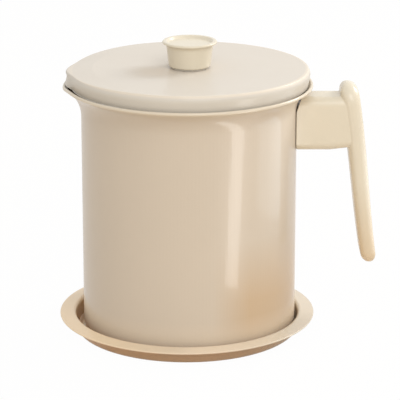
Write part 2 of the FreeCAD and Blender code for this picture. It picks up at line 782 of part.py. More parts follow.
def handle_bracket(doc, d):
    """Curved plate on the pot's wall with a channel that carries the handle."""
    plate_ring = cylinder(
        doc,
        "bracket_plate_ring",
        d.pot_radius + d.saddle_thickness,
        d.saddle_height,
        Placement__Base__z=d.plate_bottom,
    )
    window = box(
        doc,
        "bracket_plate_window",
        2 * d.pot_radius,
        d.saddle_width,
        d.saddle_height,
        Placement__Base__y=-d.saddle_width / 2,
        Placement__Base__z=d.plate_bottom,
    )
    plate = combine(doc, "Common", "bracket_plate", plate_ring, window)
    channel = box(
        doc,
        "channel_outside",
        d.tongue_end,
        d.tongue_width,
        d.tongue_height,
        Placement__Base__y=-d.tongue_width / 2,
        Placement__Base__z=d.screw_height - d.tongue_height / 2,
    )
    inside = box(
        doc,
        "channel_inside",
        d.tongue_end - d.tongue_sheet,
        d.tongue_width - 2 * d.tongue_sheet,
        d.tongue_height,
        Placement__Base__y=d.tongue_sheet - d.tongue_width / 2,
        Placement__Base__z=d.screw_height - d.tongue_height / 2 - d.tongue_sheet,
    )
    shell = combine(doc, "Cut", "bracket_channel", channel, inside)
    solid = combine(doc, "Fuse", "bracket_blank", shell, plate)
    room = cylinder(doc, "bracket_pot_room", d.pot_radius, d.flare_start)
    hole = cylinder(
        doc,
        "bracket_screw_hole",
        d.screw_radius + d.hole_gap,
        2 * d.tongue_end,
        OUTWARDS,
        Placement__Base__z=d.screw_height,
    )
    return combine(doc, "Cut", "handle_bracket", solid, joined(doc, "bracket_tools", [room, hole]))


def bracket_nut(doc, d):
    """Hexagonal weld nut behind the channel's end."""
    back = d.tongue_end - d.tongue_sheet - d.nut_thickness
    hexagon = doc.addObject("Part::Prism", "nut_hexagon")
    hexagon.Polygon = 6
    hexagon.Placement = FreeCAD.Placement(Vector(), FreeCAD.Rotation(UP, OUTWARDS))
    bind(
        hexagon,
        Circumradius=d.nut_flats / math.sqrt(3),
        Height=d.nut_thickness,
        Placement__Base__x=back,
        Placement__Base__z=d.screw_height,
    )
    bore = cylinder(
        doc,
        "nut_bore",
        d.screw_radius + d.thread_gap,
        3 * d.nut_thickness,
        OUTWARDS,
        Placement__Base__x=back - d.nut_thickness,
        Placement__Base__z=d.screw_height,
    )
    return combine(doc, "Cut", "bracket_nut", hexagon, bore)


def handle_fasteners(doc, d):
    """Screw from the grip's outer side into the weld nut, with its washer."""
    section = ring_section(d.screw_radius + d.hole_gap, d.screw_washer_radius, d.screw_washer_thickness)
    washer = turned(doc, "handle_screw_washer", section)
    reach = d.seat_thickness + d.tongue_sheet + d.nut_thickness + d.nut_overrun
    length = d.screw_washer_thickness + reach
    bolt = screw(doc, d, "handle_screw", d.screw_radius, length, d.screw_head_radius, d.screw_head_height)
    for part in (washer, bolt):
        part.Placement = FreeCAD.Placement(Vector(), FreeCAD.Rotation(UP, INWARDS))
        bind(
            part,
            Placement__Base__x=d.screw_seat + d.screw_washer_thickness,
            Placement__Base__z=d.screw_height,
        )
    return [washer, bolt]


# ---------------------------------------------------------------- whole container

def check(doc, parts):
    """Stops before anything is written if a feature failed or a piece is no sound solid."""
    for thing in doc.Objects:
        if "Invalid" in thing.State or "Error" in thing.State:
            raise ValueError("%s did not compute: %s" % (thing.Name, thing.State))
    for part in parts:
        shape = part.Shape
        if shape.isNull() or not shape.isValid() or len(shape.Solids) != 1:
            raise ValueError("%s is not one valid solid" % part.Label)


def main():
    doc = FreeCAD.newDocument("grease_strainer_pot")
    d = Sizes(doc)
    n = d.numbers()
    flange_top = flange_bottom(n) + n.collar_thickness
    collar_bottom = flange_top - n.collar_depth
    lid_top = flange_top + n.lid_height
    parts = [
        drip_tray(doc, d),
        pot_body(doc, n),
        handle_bracket(doc, d),
        bracket_nut(doc, d),
        handle(doc, d, n),
        strainer_collar(doc, d, collar_bottom),
        strainer_mesh(doc, d, collar_bottom),
        strainer_clamp_ring(doc, d, collar_bottom),
    ]
    parts += handle_fasteners(doc, d)
    cover = [lid(doc, d, n, flange_top), lid_knob(doc, d, lid_top + n.gasket_thickness)]
    cover += knob_fasteners(doc, d, lid_top)
    for part in cover:
        bind(part, Placement__Base__x=d.lid_shift)
    parts += cover
    doc.recompute()
    check(doc, parts)
    os.makedirs("parts", exist_ok=True)
    for part in parts:
        part.Shape.exportStep("parts/%s.step" % part.Label)
        span = part.Shape.optimalBoundingBox()
        print("%-20s %5.1f x %5.1f x %5.1f mm" % (part.Label, span.XLength, span.YLength, span.ZLength))


main()
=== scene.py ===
import math
import types

import bmesh
import bpy
from bpy.props import FloatProperty, FloatVectorProperty, IntProperty, PointerProperty
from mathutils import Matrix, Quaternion, Vector


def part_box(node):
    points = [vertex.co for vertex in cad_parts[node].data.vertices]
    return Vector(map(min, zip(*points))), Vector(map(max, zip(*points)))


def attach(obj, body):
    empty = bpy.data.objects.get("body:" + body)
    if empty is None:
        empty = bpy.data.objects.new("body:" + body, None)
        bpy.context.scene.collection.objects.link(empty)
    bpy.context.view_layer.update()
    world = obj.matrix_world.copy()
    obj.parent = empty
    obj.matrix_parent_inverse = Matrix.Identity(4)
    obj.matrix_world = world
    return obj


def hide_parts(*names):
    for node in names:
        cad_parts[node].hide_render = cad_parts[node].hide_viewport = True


bl_info = {
    "name": "Grease Strainer Pot",
    "version": (1, 0, 0),
    "blender": (4, 5, 0),
    "location": "3D Viewport > Sidebar > Strainer Pot",
    "description": "Dresses a grease strainer pot with its tray, strainer, lid and handle",
    "category": "Add Mesh",
}

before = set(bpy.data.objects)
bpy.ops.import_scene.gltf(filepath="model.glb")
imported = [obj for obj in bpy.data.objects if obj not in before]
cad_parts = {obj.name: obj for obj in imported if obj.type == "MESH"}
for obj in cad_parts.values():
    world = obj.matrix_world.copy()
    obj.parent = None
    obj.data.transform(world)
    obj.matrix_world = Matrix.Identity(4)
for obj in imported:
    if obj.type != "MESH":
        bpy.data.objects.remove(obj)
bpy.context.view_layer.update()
MM = 0.001
FULL_TURN = 2 * math.pi
QUARTER_TURN = math.pi / 2
SHEET_SHARP = math.radians(35.0)
MOULDING_SHARP = math.radians(40.0)
TINY = 1e-6
X, Y, Z, RADIUS = range(4)


# ---------------------------------------------------------------- sizes and colours

def length(name, description, millimetres):
    return FloatProperty(
        name=name,
        description=description,
        default=millimetres * MM,
        unit="LENGTH",
        precision=5,
    )


def colour(name, description, red, green, blue, most=1.0):
    return FloatVectorProperty(
        name=name,
        description=description,
        default=(red, green, blue),
        size=3,
        min=0,
        max=most,
        subtype="COLOR",
    )


def share(name, description, value):
    return FloatProperty(name=name, description=description, default=value, min=0, max=1, subtype="FACTOR")


class PotSizes(bpy.types.PropertyGroup):
    wall_radius: length("Wall Radius", "Outside of the pot's wall", 65.0)
    sheet: length("Sheet", "Thickness of the pot's sheet", 1.0)
    floor_height: length("Floor Height", "Underside of the pot's floor", 1.0)
    corner: length("Corner", "Outer bend between the wall and the floor", 6.0)
    flare_start: length("Flare Start", "Height where the wall starts to flare", 138.5)
    flare_rise: length("Flare Rise", "Rolled rim's centre line above the flare's start", 14.8)
    flare_reach: length("Flare Reach", "Rolled rim's centre line beyond the wall", 8.7)
    bead: length("Bead", "Half the thickness of the rolled rim", 1.0)
    spout_reach: length("Spout Reach", "How far the spout pushes the rim outwards", 1.2)
    spout_drop: length("Spout Drop", "How far the spout pulls the rim down", 1.5)
    spout_depth: length("Spout Depth", "Start of the spout's own flare below the other", 4.2)
    spout_half_angle: FloatProperty(
        name="Spout Half Angle",
        description="Turn from the spout's tip to its end",
        default=math.radians(20.0),
        subtype="ANGLE",
    )
    steps: IntProperty(name="Steps", description="Steps round the axis", default=192, min=24)


class TraySizes(bpy.types.PropertyGroup):
    foot_radius: length("Foot Radius", "Flat underside", 68.2)
    mouth_radius: length("Mouth Radius", "Inside of the wall at its top", 68.6)
    rim_width: length("Rim Width", "Rim from its inner to its outer edge", 9.6)
    depth: length("Depth", "Top of the rim at its inner edge", 11.0)
    slope: length("Slope", "How far the rim falls outwards", 1.1)
    sheet: length("Sheet", "Thickness of the tray's sheet", 1.0)
    bend: length("Bend", "Outer radius of the bends", 2.0)


class StrainerSizes(bpy.types.PropertyGroup):
    flange_radius: length("Flange Radius", "Edge of the flange", 71.1)
    collar_radius: length("Collar Radius", "Outside of the collar's wall", 62.0)
    collar_sheet: length("Collar Sheet", "Thickness of the collar", 0.8)
    flange_bend: length("Flange Bend", "Bend between the flange and the wall", 1.6)
    mesh_thickness: length("Mesh Thickness", "Space that the woven mesh takes", 0.4)
    mesh_corner: length("Mesh Corner", "Outer bend of the mesh bowl", 14.0)
    pitch: length("Pitch", "Distance between neighbouring wires", 2.4)
    wire_radius: length("Wire Radius", "Half the thickness of a wire", 0.17)
    weave_depth: length("Weave Depth", "How far a wire swings over and under the others", 0.15)
    hoop_sheet: length("Hoop Sheet", "Thickness of the clamping hoop", 0.8)


class LidSizes(bpy.types.PropertyGroup):
    radius: length("Radius", "Widest part of the lid", 72.6)
    sheet: length("Sheet", "Thickness of the lid's sheet", 1.0)
    edge: length("Edge", "Rounding of the top edge", 1.25)
    shoulder: length("Shoulder", "Widest part below the top", 2.8)
    shoulder_lean: FloatProperty(
        name="Shoulder Lean",
        description="Angle by which the skirt leans outwards down to its widest part",
        default=math.radians(27.0),
        subtype="ANGLE",
    )
    skirt_lean: FloatProperty(
        name="Skirt Lean",
        description="Angle by which the skirt leans inwards below its widest part",
        default=math.radians(11.0),
        subtype="ANGLE",
    )
    shoulder_blend: length("Shoulder Blend", "Length over which the widest part is rounded", 1.8)
    beak_reach: length("Beak Reach", "How far the top edge reaches over the spout", 2.7)
    beak_foot: length("Beak Foot", "How far the skirt's lower edge reaches out below it", 3.7)
    beak_half_angle: FloatProperty(
        name="Beak Half Angle",
        description="Turn from the beak's tip to its end",
        default=math.radians(18.0),
        subtype="ANGLE",
    )
    droop: length("Droop", "How far the top edge droops at the beak", 1.2)
    droop_half_angle: FloatProperty(
        name="Droop Half Angle",
        description="Turn from the beak's tip to the droop's end",
        default=math.radians(65.0),
        subtype="ANGLE",
    )
    steps: IntProperty(name="Steps", description="Steps round the axis", default=240, min=24)
    flat_margin: length("Flat Margin", "Lid's edge beyond its flat middle", 14.0)
    hole: length("Hole", "Hole for the knob's screw", 2.3)


class KnobSizes(bpy.types.PropertyGroup):
    foot_radius: length("Foot Radius", "Knob at its foot", 12.5)
    neck_radius: length("Neck Radius", "Knob under its rim", 14.0)
    rim_width: length("Rim Width", "How far the rim stands out", 2.4)
    rim_height: length("Rim Height", "Height of the flared rim", 2.6)
    dish: length("Dish", "Depth of the dished top", 1.5)
    insert_radius: length("Insert Radius", "Outside of the threaded insert", 4.0)
    insert_length: length("Insert Length", "Length of the threaded insert", 9.0)
    gasket_margin: length("Gasket Margin", "Knob's foot beyond the gasket", 1.3)


class Finishes(bpy.types.PropertyGroup):
    pot_cream: colour("Pot Cream", "Baked paint of the pot", 0.595, 0.507, 0.402)
    # Painted reflection: a warm reflection of the tray, low on the pot's front right.
    painted_warm_reflection: colour("Warm Tint", "Tint of the pot's paint low at its front", 0.93, 0.80, 0.64)
    # Painted light: the pot's paint lighter low down in the tray, against the shade that falls there.
    painted_base_light: colour("Base Tint", "Tint of the pot's paint down in the tray", 1.12, 1.10, 1.06, 1.5)
    # Painted highlight: the rolled rim lighter than the rest of the paint.
    painted_rim_highlight: colour("Rim Tint", "Tint of the pot's rolled rim", 1.12, 1.14, 1.12, 1.5)
    # Painted reflection: the pot's paint lighter and cooler high on its right side.
    painted_side_reflection: colour("Side Tint", "Tint of the pot's paint high at its right", 1.10, 1.13, 1.18, 1.5)
    lid_cream: colour("Lid Cream", "Baked paint of the lid", 0.655, 0.592, 0.508)
    # Painted highlight along the lid's rounded top edge.
    painted_edge_highlight: colour("Edge Tint", "Tint of the lid's rounded edge", 1.10, 1.08, 1.04, 1.5)
    # Painted shade: the lid's skirt a little darker and cooler than its top.
    painted_skirt_shade: colour("Skirt Tint", "Tint of the lid's skirt", 0.94, 0.96, 0.97)
    # Painted shadow: the knob's warm shadow on the lid, to its left and front.
    painted_knob_shadow: colour("Shade Tint", "Warm tint of the lid beside the knob", 1.0, 0.95, 0.88)
    tray_cream: colour("Tray Cream", "Baked paint of the tray", 0.725, 0.585, 0.425)
    # Painted light: the tray's paint lighter towards its left.
    painted_tray_left_light: colour("Tray Left Tint", "Tint of the tray's paint at the left", 1.16, 1.12, 1.02, 1.5)
    # Painted light: a cooler, less red cast on the tray's right side.
    painted_tray_right_light: colour("Tray Right Tint", "Tint of the tray's right side", 0.90, 0.97, 1.04, 1.5)
    # Painted shade: the tray's outside below its rim darker and warmer, as in the shade there.
    painted_foot_shade: colour("Foot Tint", "Tint of the tray's paint below its rim", 0.74, 0.60, 0.48)
    moulding_cream: colour("Moulding Cream", "Plastic of the handle and the knob", 0.712, 0.638, 0.500)
    # Painted shade: the handle's plastic darker and warmer towards the grip's tip.
    painted_tip_shade: colour("Tip Tint", "Tint of the handle's plastic at its tip", 0.93, 0.82, 0.70)
    steel: colour("Steel", "Bare stainless steel", 0.560, 0.545, 0.520)
    wire: colour("Wire", "Drawn stainless wire", 0.600, 0.590, 0.570)
    zinc: colour("Zinc", "Plated screws, washers and nut", 0.520, 0.530, 0.550)
    brass: colour("Brass", "Threaded insert", 0.700, 0.480, 0.180)
    silicone: colour("Silicone", "Gasket under the knob", 0.560, 0.520, 0.450)
    paint_roughness: share("Paint Roughness", "Roughness of the paint under its gloss", 0.45)
    paint_gloss: share("Paint Gloss", "Strength of the pot's glossy top layer", 0.5)
    lid_gloss: share("Lid Gloss", "Strength of the lid's glossy top layer", 0.15)
    moulding_roughness: share("Moulding Roughness", "Roughness of the moulded plastic", 0.27)


class StageSizes(bpy.types.PropertyGroup):
    distance: length("Distance", "Camera in front of the pot's axis", 1350.0)
    height: length("Height", "Camera above the floor", 487.2)
    pitch: FloatProperty(
        name="Pitch",
        description="Angle by which the camera looks down",
        default=math.radians(16.771),
        subtype="ANGLE",
    )
    yaw: FloatProperty(
        name="Yaw",
        description="Angle by which the camera looks to the right",
        default=math.radians(0.283),
        subtype="ANGLE",
    )
    lens: FloatProperty(name="Lens", description="Focal length", default=207.99, subtype="DISTANCE_CAMERA")
    floor_reach: length("Floor Reach", "Half the floor's side", 4000.0)
    floor_tint: colour("Floor Tint", "Floor's colour as it lights the pot", 0.80, 0.70, 0.58)
    backdrop_white: share("Backdrop White", "Share of plain white in the floor as it is seen", 0.98)
    world_level: FloatProperty(name="World Level", description="Strength of the even light", default=0.75)


# ---------------------------------------------------------------- node networks

class Wire:
    """An output of a node that takes part in Python expressions."""

    def __init__(self, net, socket):
        self.net = net
        self.socket = socket

    def maths(self, operation, *values):
        return self.net.add("ShaderNodeMath", {"operation": operation}, dict(enumerate(values)))

    def __add__(self, other):
        return self.maths("ADD", self, other)

    def __radd__(self, other):
        return self.maths("ADD", other, self)

    def __sub__(self, other):
        return self.maths("SUBTRACT", self, other)

    def __rsub__(self, other):
        return self.maths("SUBTRACT", other, self)

    def __mul__(self, other):
        return self.maths("MULTIPLY", self, other)

    def __rmul__(self, other):
        return self.maths("MULTIPLY", other, self)

    def __truediv__(self, other):
        return self.maths("DIVIDE", self, other)

    def __rtruediv__(self, other):
        return self.maths("DIVIDE", other, self)

    def __gt__(self, other):
        return self.maths("GREATER_THAN", self, other)

    def __abs__(self):
        return self.maths("ABSOLUTE", self)

    def sine(self):
        return self.maths("SINE", self)

    def cosine(self):
        return self.maths("COSINE", self)

    def root(self):
        return self.maths("SQRT", self)

    def floor(self):
        return self.maths("FLOOR", self)

    def at_least(self, other):
        return self.maths("MAXIMUM", self, other)

    def at_most(self, other):
        return self.maths("MINIMUM", self, other)


class Net:
    """A node tree that is written as Python expressions."""

    def __init__(self, tree):
        self.tree = tree

    def add(self, kind, settings=None, values=None, out=0):
        """A node with its settings, then its sockets' values or links; gives one of its outputs."""
        node = self.tree.nodes.new(kind)
        for name, setting in (settings or {}).items():
            setattr(node, name, setting)
        for key, value in (values or {}).items():
            socket = self.pick(node.inputs, key)
            for one in value if isinstance(value, list) else [value]:
                if isinstance(one, Wire):
                    self.tree.links.new(one.socket, socket)
                else:
                    socket.default_value = one
        return Wire(self, self.pick(node.outputs, out))

    @staticmethod
    def pick(sockets, key):
        if isinstance(key, int):
            return sockets[key]
        return next(socket for socket in sockets if socket.name == key and socket.enabled)

    def vector(self, operation, *values):
        return self.add("ShaderNodeVectorMath", {"operation": operation}, dict(enumerate(values)))

    def mix(self, factor, first, second, way="MIX"):
        """Blend of two colours."""
        settings = {"data_type": "RGBA", "blend_type": way}
        return self.add("ShaderNodeMix", settings, {"Factor": factor, "A": first, "B": second}, "Result")

    def blend(self, factor, first, second):
        """Blend of two vectors."""
        values = {"Factor": factor, "A": first, "B": second}
        return self.add("ShaderNodeMix", {"data_type": "VECTOR"}, values, "Result")

    def xyz(self, vector):
        return [self.add("ShaderNodeSeparateXYZ", None, {0: vector}, axis) for axis in range(3)]

    def combine(self, x, y, z):
        return self.add("ShaderNodeCombineXYZ", None, {0: x, 1: y, 2: z})

    def seen_or_mirrored(self):
        """1 for the camera's rays and for those that a gloss or a clear piece sends on."""
        rays = ("Is Camera Ray", "Is Glossy Ray", "Is Transmission Ray")
        camera, glossy, clear = [self.add("ShaderNodeLightPath", out=ray) for ray in rays]
        return camera.at_least(glossy).at_least(clear)


def as_colour(values):
    return (*values, 1.0)


def new_object(name, data):
    """An object of the scene, at the origin."""
    thing = bpy.data.objects.new(name, data)
    bpy.context.scene.collection.objects.link(thing)
    return thing


# ---------------------------------------------------------------- finishes

class Finish(Net):
    """A material whose pattern lies in the pieces' own coordinates."""

    def __init__(self, name):
        self.material = bpy.data.materials.new(name)
        self.material.use_nodes = True
        super().__init__(self.material.node_tree)
        self.shader = self.tree.nodes["Principled BSDF"]
        self.place = self.add("ShaderNodeTexCoord", out="Object")

    def noise(self, scale, detail=3.0, place=None, roughness=0.55):
        values = {"Vector": place or self.place, "Scale": scale, "Detail": detail, "Roughness": roughness}
        return self.add("ShaderNodeTexNoise", None, values, "Fac")

    def set(self, **values):
        for name, value in values.items():
            socket = self.shader.inputs[name.replace("_", " ")]
            if isinstance(value, Wire):
                self.tree.links.new(value.socket, socket)
            else:
                socket.default_value = value

    def bump(self, height, strength, distance):
        values = {"Height": height, "Strength": strength, "Distance": distance}
        self.set(Normal=self.add("ShaderNodeBump", None, values))

    def zoned(self, colour, painted_light_zones):
        """The colour, with the tint of each zone (tint, then its limits) over the one before; the zone
        tints paint light and shade into the colour.
        """
        for tint, *limits in painted_light_zones:
            colour = self.zone(colour, tint, limits)
        return colour

    def zone(self, colour, tint, limits):
        """The colour, tinted past every limit: axis, place of no tint, place of the full tint."""
        place = self.xyz(self.place)
        place.append((place[X] * place[X] + place[Y] * place[Y]).root())
        inside = 1.0
        for axis, none, full in limits:
            inside = inside * ((place[axis] - none) / (full - none)).at_least(0.0).at_most(1.0)
        return self.mix(inside, colour, self.mix(1.0, colour, as_colour(tint), "MULTIPLY"))

    def tinted(self, base, factor, spread):
        """The base colour, a little darker and lighter by the factor."""
        dark = as_colour([channel * (1 - spread) for channel in base])
        light = as_colour([min(1.0, channel * (1 + spread)) for channel in base])
        return self.mix(factor, dark, light)


def baked_paint(name, base, roughness, gloss, painted_light_zones=()):
    """Satin baked paint on steel: faint clouding, orange peel and a glossy top layer, with painted light
    and shade from its zone tints.
    """
    paint = Finish(name)
    clouds = paint.noise(26.0, 3.0)
    smudges = paint.noise(70.0, 4.0)
    paint.set(
        Base_Color=paint.zoned(paint.tinted(base, clouds, 0.022), painted_light_zones),
        Roughness=roughness - 0.05 + 0.1 * smudges,
        Coat_Weight=gloss * (0.94 + 0.06 * smudges),
        Coat_Roughness=0.12,
        Specular_IOR_Level=0.25,
    )
    peel = paint.noise(520.0, 2.0)
    grain = paint.noise(2600.0, 1.0)
    paint.bump(peel + 0.25 * grain, 0.22, 0.00012)
    return paint.material


def moulded_plastic(name, base, roughness, painted_light_zones=()):
    """Glossy injection-moulded plastic with slow sinks and a very fine grain, with painted shade from its
    zone tints.
    """
    plastic = Finish(name)
    clouds = plastic.noise(38.0, 2.0)
    wear = plastic.noise(95.0, 4.0)
    plastic.set(
        Base_Color=plastic.zoned(plastic.tinted(base, clouds, 0.02), painted_light_zones),
        Roughness=roughness - 0.01 + 0.02 * wear,
    )
    sinks = plastic.noise(60.0, 1.0)
    grain = plastic.noise(1900.0, 2.0)
    plastic.bump(0.12 * sinks + 0.02 * grain, 0.08, 0.0004)
    return plastic.material


def spun_steel(name, base):
    """Stainless sheet with the fine rings that turning leaves."""
    steel = Finish(name)
    x, y, z = steel.xyz(steel.place)
    radius = (x * x + y * y).root()
    rings = steel.noise(1.0, 3.0, steel.combine(radius * 2600.0, z * 2600.0, 0.0), 0.7)
    smears = steel.noise(45.0, 4.0)
    steel.set(
        Base_Color=steel.tinted(base, rings, 0.07),
        Metallic=1.0,
        Roughness=0.2 + 0.12 * rings + 0.08 * smears,
    )
    steel.bump(rings, 0.3, 0.00003)
    return steel.material


def drawn_wire(name, base):
    """Bright drawn wire with a slightly uneven tone."""
    wire = Finish(name)
    tone = wire.noise(420.0, 2.0)
    wire.set(Base_Color=wire.tinted(base, tone, 0.12), Metallic=1.0, Roughness=0.24 + 0.14 * tone)
    wire.bump(wire.noise(4000.0, 1.0), 0.2, 0.00002)
    return wire.material


def plated_metal(name, base):
    """Zinc or brass turned on a lathe: tool marks, a mottled tone and tiny pits."""
    metal = Finish(name)
    mottle = metal.noise(700.0, 4.0)
    marks = metal.noise(2400.0, 2.0)
    metal.set(
        Base_Color=metal.tinted(base, mottle, 0.1),
        Metallic=1.0,
        Roughness=0.22 + 0.2 * mottle,
    )
    metal.bump(marks, 0.25, 0.00004)
    return metal.material


def soft_silicone(name, base):
    """Matt silicone with a moulded grain."""
    rubber = Finish(name)
    tone = rubber.noise(160.0, 3.0)
    rubber.set(Base_Color=rubber.tinted(base, tone, 0.05), Roughness=0.55 + 0.15 * tone)
    rubber.bump(rubber.noise(1500.0, 2.0), 0.3, 0.00008)
    return rubber.material


# ---------------------------------------------------------------- Geometry Nodes

class Tree(Net):
    """A Geometry Nodes group with named inputs, run once on a piece and then baked."""

    def __init__(self, name, inputs):
        tree = bpy.data.node_groups.new(name, "GeometryNodeTree")
        tree.interface.new_socket("Geometry", in_out="OUTPUT", socket_type="NodeSocketGeometry")
        tree.interface.new_socket("Geometry", in_out="INPUT", socket_type="NodeSocketGeometry")
        for label, kind in inputs:
            tree.interface.new_socket(label, in_out="INPUT", socket_type="NodeSocket" + kind)
        super().__init__(tree)
        self.group = tree.nodes.new("NodeGroupInput")

    def given(self, label):
        return Wire(self, self.group.outputs[label])

    def close(self, geometry):
        """Ends the group: real geometry with its material."""
        geometry = self.add("GeometryNodeRealizeInstances", None, {"Geometry": geometry})
        values = {"Geometry": geometry, "Material": self.given("Material")}
        geometry = self.add("GeometryNodeSetMaterial", None, values)
        end = self.tree.nodes.new("NodeGroupOutput")
        self.tree.links.new(geometry.socket, end.inputs[0])

    def bake(self, piece, values):
        """Runs the group on the piece with these inputs and keeps the result as its mesh."""
        modifier = piece.modifiers.new(self.tree.name, "NODES")
        modifier.node_group = self.tree
        for item in self.tree.interface.items_tree:
            if item.in_out == "INPUT" and item.name in values:
                modifier[item.identifier] = values[item.name]
        seen = piece.evaluated_get(bpy.context.evaluated_depsgraph_get())
        mesh = bpy.data.meshes.new_from_object(seen)
        piece.modifiers.clear()
        piece.data = mesh
        mesh.name = piece.name
        if not mesh.polygons:
            raise RuntimeError("%s came out empty" % piece.name)


def turned_tree():
    """Turns a section about the Z axis; at the spout it reaches out and droops."""
    inputs = [
        ("Steps", "Int"),
        ("Reach Half Angle", "Float"),
        ("Droop Half Angle", "Float"),
        ("Shift", "Vector"),
        ("Sharp Angle", "Float"),
        ("Material", "Material"),
    ]
    net = Tree("Turned Ware", inputs)
    section = net.given("Geometry")
    count = net.add("GeometryNodeAttributeDomainSize", None, {"Geometry": section}, "Point Count")
    columns = net.given("Steps") + 1
    grid_values = {"Size X": 1.0, "Size Y": 1.0, "Vertices X": count, "Vertices Y": columns}
    grid = net.add("GeometryNodeMeshGrid", None, grid_values, "Mesh")
    index = net.add("GeometryNodeInputIndex")
    row = ((index + 0.5) / columns).floor()
    column = index - row * columns
    angle = column / net.given("Steps") * FULL_TURN

    def sampled(vector):
        settings = {"data_type": "FLOAT_VECTOR", "domain": "POINT"}
        values = {"Geometry": section, "Value": vector, "Index": row}
        return net.add("GeometryNodeSampleIndex", settings, values)

    def moved(label):
        """The stored move of a section's points, falling smoothly to none at its half angle."""
        away = (abs(angle - math.pi) / net.given(label + " Half Angle").at_least(TINY)).at_most(1.0)
        vector = net.add("GeometryNodeInputNamedAttribute", {"data_type": "FLOAT_VECTOR"}, {"Name": label})
        return net.blend((1 + (away * math.pi).cosine()) / 2, (0, 0, 0), sampled(vector))

    part = sampled(net.add("GeometryNodeInputPosition"))
    part = net.vector("ADD", part, net.vector("ADD", moved("Reach"), moved("Droop")))
    radius, _, height = net.xyz(part)
    place = net.combine(radius * angle.cosine(), radius * angle.sine(), height)
    place = net.vector("ADD", place, net.given("Shift"))
    body = net.add("GeometryNodeSetPosition", None, {"Geometry": grid, "Position": place})
    body = net.add("GeometryNodeMergeByDistance", None, {"Geometry": body, "Distance": TINY})
    bend = net.add("GeometryNodeInputMeshEdgeAngle", out="Unsigned Angle")
    values = {"Geometry": body, "Selection": bend > net.given("Sharp Angle"), "Shade Smooth": False}
    body = net.add("GeometryNodeSetShadeSmooth", {"domain": "EDGE"}, values)
    net.close(body)
    return net


def woven_tree():
    """Two families of wires woven flat and pressed into a bowl."""
    inputs = [
        ("Wires", "Int"),
        ("Pitch", "Float"),
        ("Wire Radius", "Float"),
        ("Weave Depth", "Float"),
        ("Bowl Radius", "Float"),
        ("Bend", "Float"),
        ("Bottom", "Float"),
        ("Top", "Float"),
        ("Material", "Material"),
    ]
    net = Tree("Woven Bowl", inputs)
    wires, pitch = net.given("Wires"), net.given("Pitch")
    bend, bottom = net.given("Bend"), net.given("Bottom")
    flat = net.given("Bowl Radius") - bend
    wall = net.given("Top") - bottom - bend
    reach = flat + bend * QUARTER_TURN + wall
    size = (wires - 1) * pitch
    grid_values = {"Size X": size, "Size Y": size, "Vertices X": wires, "Vertices Y": wires * 2 - 1}
    grid = net.add("GeometryNodeMeshGrid", None, grid_values, "Mesh")
    across, along, _ = net.xyz(net.add("GeometryNodeInputPosition"))
    outside = (across * across + along * along).root() > reach
    kept = {"Geometry": grid, "Selection": outside}
    grid = net.add("GeometryNodeDeleteGeometry", {"domain": "POINT", "mode": "ALL"}, kept)
    ends = [net.add("GeometryNodeInputMeshEdgeVertices", out="Position %d" % i) for i in (1, 2)]
    step = net.xyz(net.vector("SUBTRACT", *ends))
    cross_ties = {"Geometry": grid, "Selection": abs(step[X]) > pitch * 0.5}
    settings = {"domain": "EDGE", "mode": "EDGE_FACE"}
    strands = net.add("GeometryNodeDeleteGeometry", settings, cross_ties)
    middle = (wires - 1) / 2
    phase = (across / pitch + middle) + (along / pitch + middle)

    def pressed(x, y, swing):
        """Place in the bowl of a spot on the flat mesh, lifted off by the swing."""
        away = (x * x + y * y).root().at_least(TINY)
        turn = ((away - flat) / bend).at_least(0.0).at_most(QUARTER_TURN)
        rise = (away - flat - bend * QUARTER_TURN).at_least(0.0)
        radius = away.at_most(flat) + (bend - swing) * turn.sine()
        height = bottom + bend - (bend - swing) * turn.cosine() + rise
        place = net.combine(x / away * radius, y / away * radius, height)
        moved = net.add("GeometryNodeSetPosition", None, {"Geometry": strands, "Position": place})
        return net.add("GeometryNodeMeshToCurve", None, {"Mesh": moved})

    swing = net.given("Weave Depth") * (phase * math.pi).cosine()
    family = [pressed(across, along, swing), pressed(along, across, swing * -1)]
    curves = net.add("GeometryNodeJoinGeometry", None, {"Geometry": family})
    circle = {"Resolution": 4, "Radius": net.given("Wire Radius")}
    circle = net.add("GeometryNodeCurvePrimitiveCircle", None, circle, "Curve")
    values = {"Curve": curves, "Profile Curve": circle, "Fill Caps": True}
    net.close(net.add("GeometryNodeCurveToMesh", None, values))
    return net


# ---------------------------------------------------------------- sections

def rounded(corners, segments=6):
    """A closed section through (radius, height, rounding) corners, each rounding an arc."""
    points = []
    count = len(corners)
    for i, (r, z, rounding) in enumerate(corners):
        here = Vector((r, z))
        if not rounding:
            points.append(here)
            continue
        before = (Vector(corners[i - 1][:2]) - here).normalized()
        after = (Vector(corners[(i + 1) % count][:2]) - here).normalized()
        half = before.angle(after) / 2
        centre = here + (before + after).normalized() * (rounding / math.sin(half))
        start = here + before * (rounding / math.tan(half)) - centre
        end = here + after * (rounding / math.tan(half)) - centre
        sweep = math.atan2(start.x * end.y - start.y * end.x, start.dot(end))
        steps = max(2, math.ceil(segments * abs(sweep) / QUARTER_TURN))
        for k in range(steps + 1):
            turn = sweep * k / steps
            points.append(centre + Vector((
                start.x * math.cos(turn) - start.y * math.sin(turn),
                start.x * math.sin(turn) + start.y * math.cos(turn),
            )))
    return [(max(0.0, point.x), point.y) for point in points]


